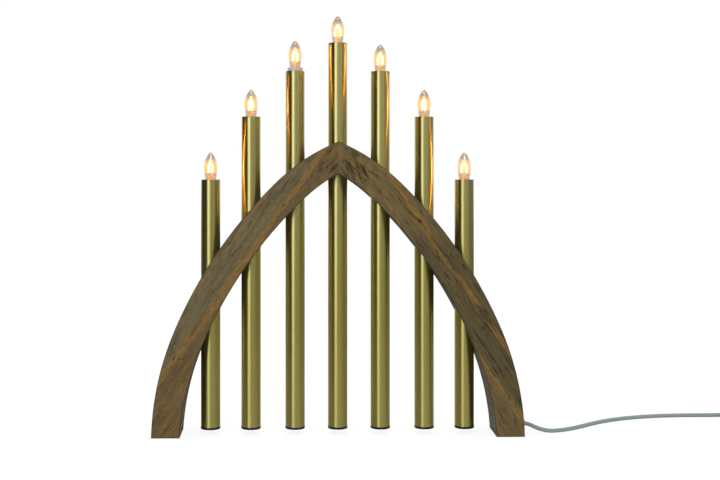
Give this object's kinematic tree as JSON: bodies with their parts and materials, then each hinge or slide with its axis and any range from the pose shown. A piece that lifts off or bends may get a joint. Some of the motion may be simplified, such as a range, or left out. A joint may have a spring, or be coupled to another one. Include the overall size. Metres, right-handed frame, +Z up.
{
  "type": "candle arch",
  "caption": "Pointed wooden arch that carries upright brass tubes with screw-in electric candle bulbs and a mains cord.",
  "frame": {"origin": "on the table under the middle of the arch", "axes": "+Z up, +X to the right seen from the front, the front faces -Y"},
  "size_m": [0.7075, 0.1377, 0.425],
  "materials": {
    "stained_wood": "stained pine",
    "dowel_wood": "plain beech",
    "tube_brass": "satin brass",
    "black_plastic": "moulded",
    "white_plastic": "moulded",
    "contact_brass": "pressed",
    "bulb_glass": "clear",
    "cap_brass": "pressed",
    "tip_insulator": "black glass with a soldered tip",
    "filament": "glowing wire on a glass stem",
    "lead_insulation": "extruded",
    "cord_sheath": "extruded, grey",
    "tie_plastic": "moulded",
    "pin_metal": "plated"
  },
  "bodies": {
    "arch": {"arch_left_arm": "stained_wood", "arch_right_arm": "stained_wood", "groove_covers_left": "stained_wood", "groove_covers_right": "stained_wood", "apex_dowels": "dowel_wood", "tube_end_caps": "black_plastic", "holder_screw_shells": "contact_brass", "holder_contacts": "contact_brass", "series_leads": "lead_insulation", "supply_leads": "lead_insulation", "cord_grip": "cord_sheath", "cord_run": "cord_sheath", "cord_coil": "cord_sheath", "cord_tail": "cord_sheath", "cord_tie": "tie_plastic", "plug_body": "cord_sheath", "plug_pins": "pin_metal", "candle_tube_1": "tube_brass", "lampholder_1": "white_plastic", "candle_tube_2": "tube_brass", "lampholder_2": "white_plastic", "candle_tube_3": "tube_brass", "lampholder_3": "white_plastic", "candle_tube_4": "tube_brass", "lampholder_4": "white_plastic", "candle_tube_5": "tube_brass", "lampholder_5": "white_plastic", "candle_tube_6": "tube_brass", "lampholder_6": "white_plastic", "candle_tube_7": "tube_brass", "lampholder_7": "white_plastic"},
    "bulb_1_lift": {"bulb_tip_1": "tip_insulator"},
    "bulb_1": {"bulb_glass_1": "bulb_glass", "bulb_cap_1": "cap_brass", "bulb_filament_1": "filament"},
    "bulb_2_lift": {"bulb_tip_2": "tip_insulator"},
    "bulb_2": {"bulb_glass_2": "bulb_glass", "bulb_cap_2": "cap_brass", "bulb_filament_2": "filament"},
    "bulb_3_lift": {"bulb_tip_3": "tip_insulator"},
    "bulb_3": {"bulb_glass_3": "bulb_glass", "bulb_cap_3": "cap_brass", "bulb_filament_3": "filament"},
    "bulb_4_lift": {"bulb_tip_4": "tip_insulator"},
    "bulb_4": {"bulb_glass_4": "bulb_glass", "bulb_cap_4": "cap_brass", "bulb_filament_4": "filament"},
    "bulb_5_lift": {"bulb_tip_5": "tip_insulator"},
    "bulb_5": {"bulb_glass_5": "bulb_glass", "bulb_cap_5": "cap_brass", "bulb_filament_5": "filament"},
    "bulb_6_lift": {"bulb_tip_6": "tip_insulator"},
    "bulb_6": {"bulb_glass_6": "bulb_glass", "bulb_cap_6": "cap_brass", "bulb_filament_6": "filament"},
    "bulb_7_lift": {"bulb_tip_7": "tip_insulator"},
    "bulb_7": {"bulb_glass_7": "bulb_glass", "bulb_cap_7": "cap_brass", "bulb_filament_7": "filament"}
  },
  "joints": [
    {"name": "bulb_1_rise", "type": "slide", "parent": "arch", "child": "bulb_1_lift", "axis": [0, 0, 1], "range_m": [0, 0.00726]},
    {"name": "bulb_1_turn", "type": "hinge", "parent": "bulb_1_lift", "child": "bulb_1", "pos_m": [-0.12939, 0, 0.2585], "axis": [0, 0, 1], "range_deg": [0, 1440]},
    {"name": "bulb_2_rise", "type": "slide", "parent": "arch", "child": "bulb_2_lift", "axis": [0, 0, 1], "range_m": [0, 0.00726]},
    {"name": "bulb_2_turn", "type": "hinge", "parent": "bulb_2_lift", "child": "bulb_2", "pos_m": [-0.08829, 0, 0.3224], "axis": [0, 0, 1], "range_deg": [0, 1440]},
    {"name": "bulb_3_rise", "type": "slide", "parent": "arch", "child": "bulb_3_lift", "axis": [0, 0, 1], "range_m": [0, 0.00726]},
    {"name": "bulb_3_turn", "type": "hinge", "parent": "bulb_3_lift", "child": "bulb_3", "pos_m": [-0.04341, 0, 0.3723], "axis": [0, 0, 1], "range_deg": [0, 1440]},
    {"name": "bulb_4_rise", "type": "slide", "parent": "arch", "child": "bulb_4_lift", "axis": [0, 0, 1], "range_m": [0, 0.00726]},
    {"name": "bulb_4_turn", "type": "hinge", "parent": "bulb_4_lift", "child": "bulb_4", "pos_m": [0, 0, 0.3975], "axis": [0, 0, 1], "range_deg": [0, 1440]},
    {"name": "bulb_5_rise", "type": "slide", "parent": "arch", "child": "bulb_5_lift", "axis": [0, 0, 1], "range_m": [0, 0.00726]},
    {"name": "bulb_5_turn", "type": "hinge", "parent": "bulb_5_lift", "child": "bulb_5", "pos_m": [0.04341, 0, 0.3687], "axis": [0, 0, 1], "range_deg": [0, 1440]},
    {"name": "bulb_6_rise", "type": "slide", "parent": "arch", "child": "bulb_6_lift", "axis": [0, 0, 1], "range_m": [0, 0.00726]},
    {"name": "bulb_6_turn", "type": "hinge", "parent": "bulb_6_lift", "child": "bulb_6", "pos_m": [0.08829, 0, 0.3224], "axis": [0, 0, 1], "range_deg": [0, 1440]},
    {"name": "bulb_7_rise", "type": "slide", "parent": "arch", "child": "bulb_7_lift", "axis": [0, 0, 1], "range_m": [0, 0.00726]},
    {"name": "bulb_7_turn", "type": "hinge", "parent": "bulb_7_lift", "child": "bulb_7", "pos_m": [0.12939, 0, 0.2585], "axis": [0, 0, 1], "range_deg": [0, 1440]}
  ],
  "couplings": [
    {"joint": "bulb_1_rise", "follows": "bulb_1_turn", "m_per_rad": 0.00028871},
    {"joint": "bulb_2_rise", "follows": "bulb_2_turn", "m_per_rad": 0.00028871},
    {"joint": "bulb_3_rise", "follows": "bulb_3_turn", "m_per_rad": 0.00028871},
    {"joint": "bulb_4_rise", "follows": "bulb_4_turn", "m_per_rad": 0.00028871},
    {"joint": "bulb_5_rise", "follows": "bulb_5_turn", "m_per_rad": 0.00028871},
    {"joint": "bulb_6_rise", "follows": "bulb_6_turn", "m_per_rad": 0.00028871},
    {"joint": "bulb_7_rise", "follows": "bulb_7_turn", "m_per_rad": 0.00028871}
  ]
}
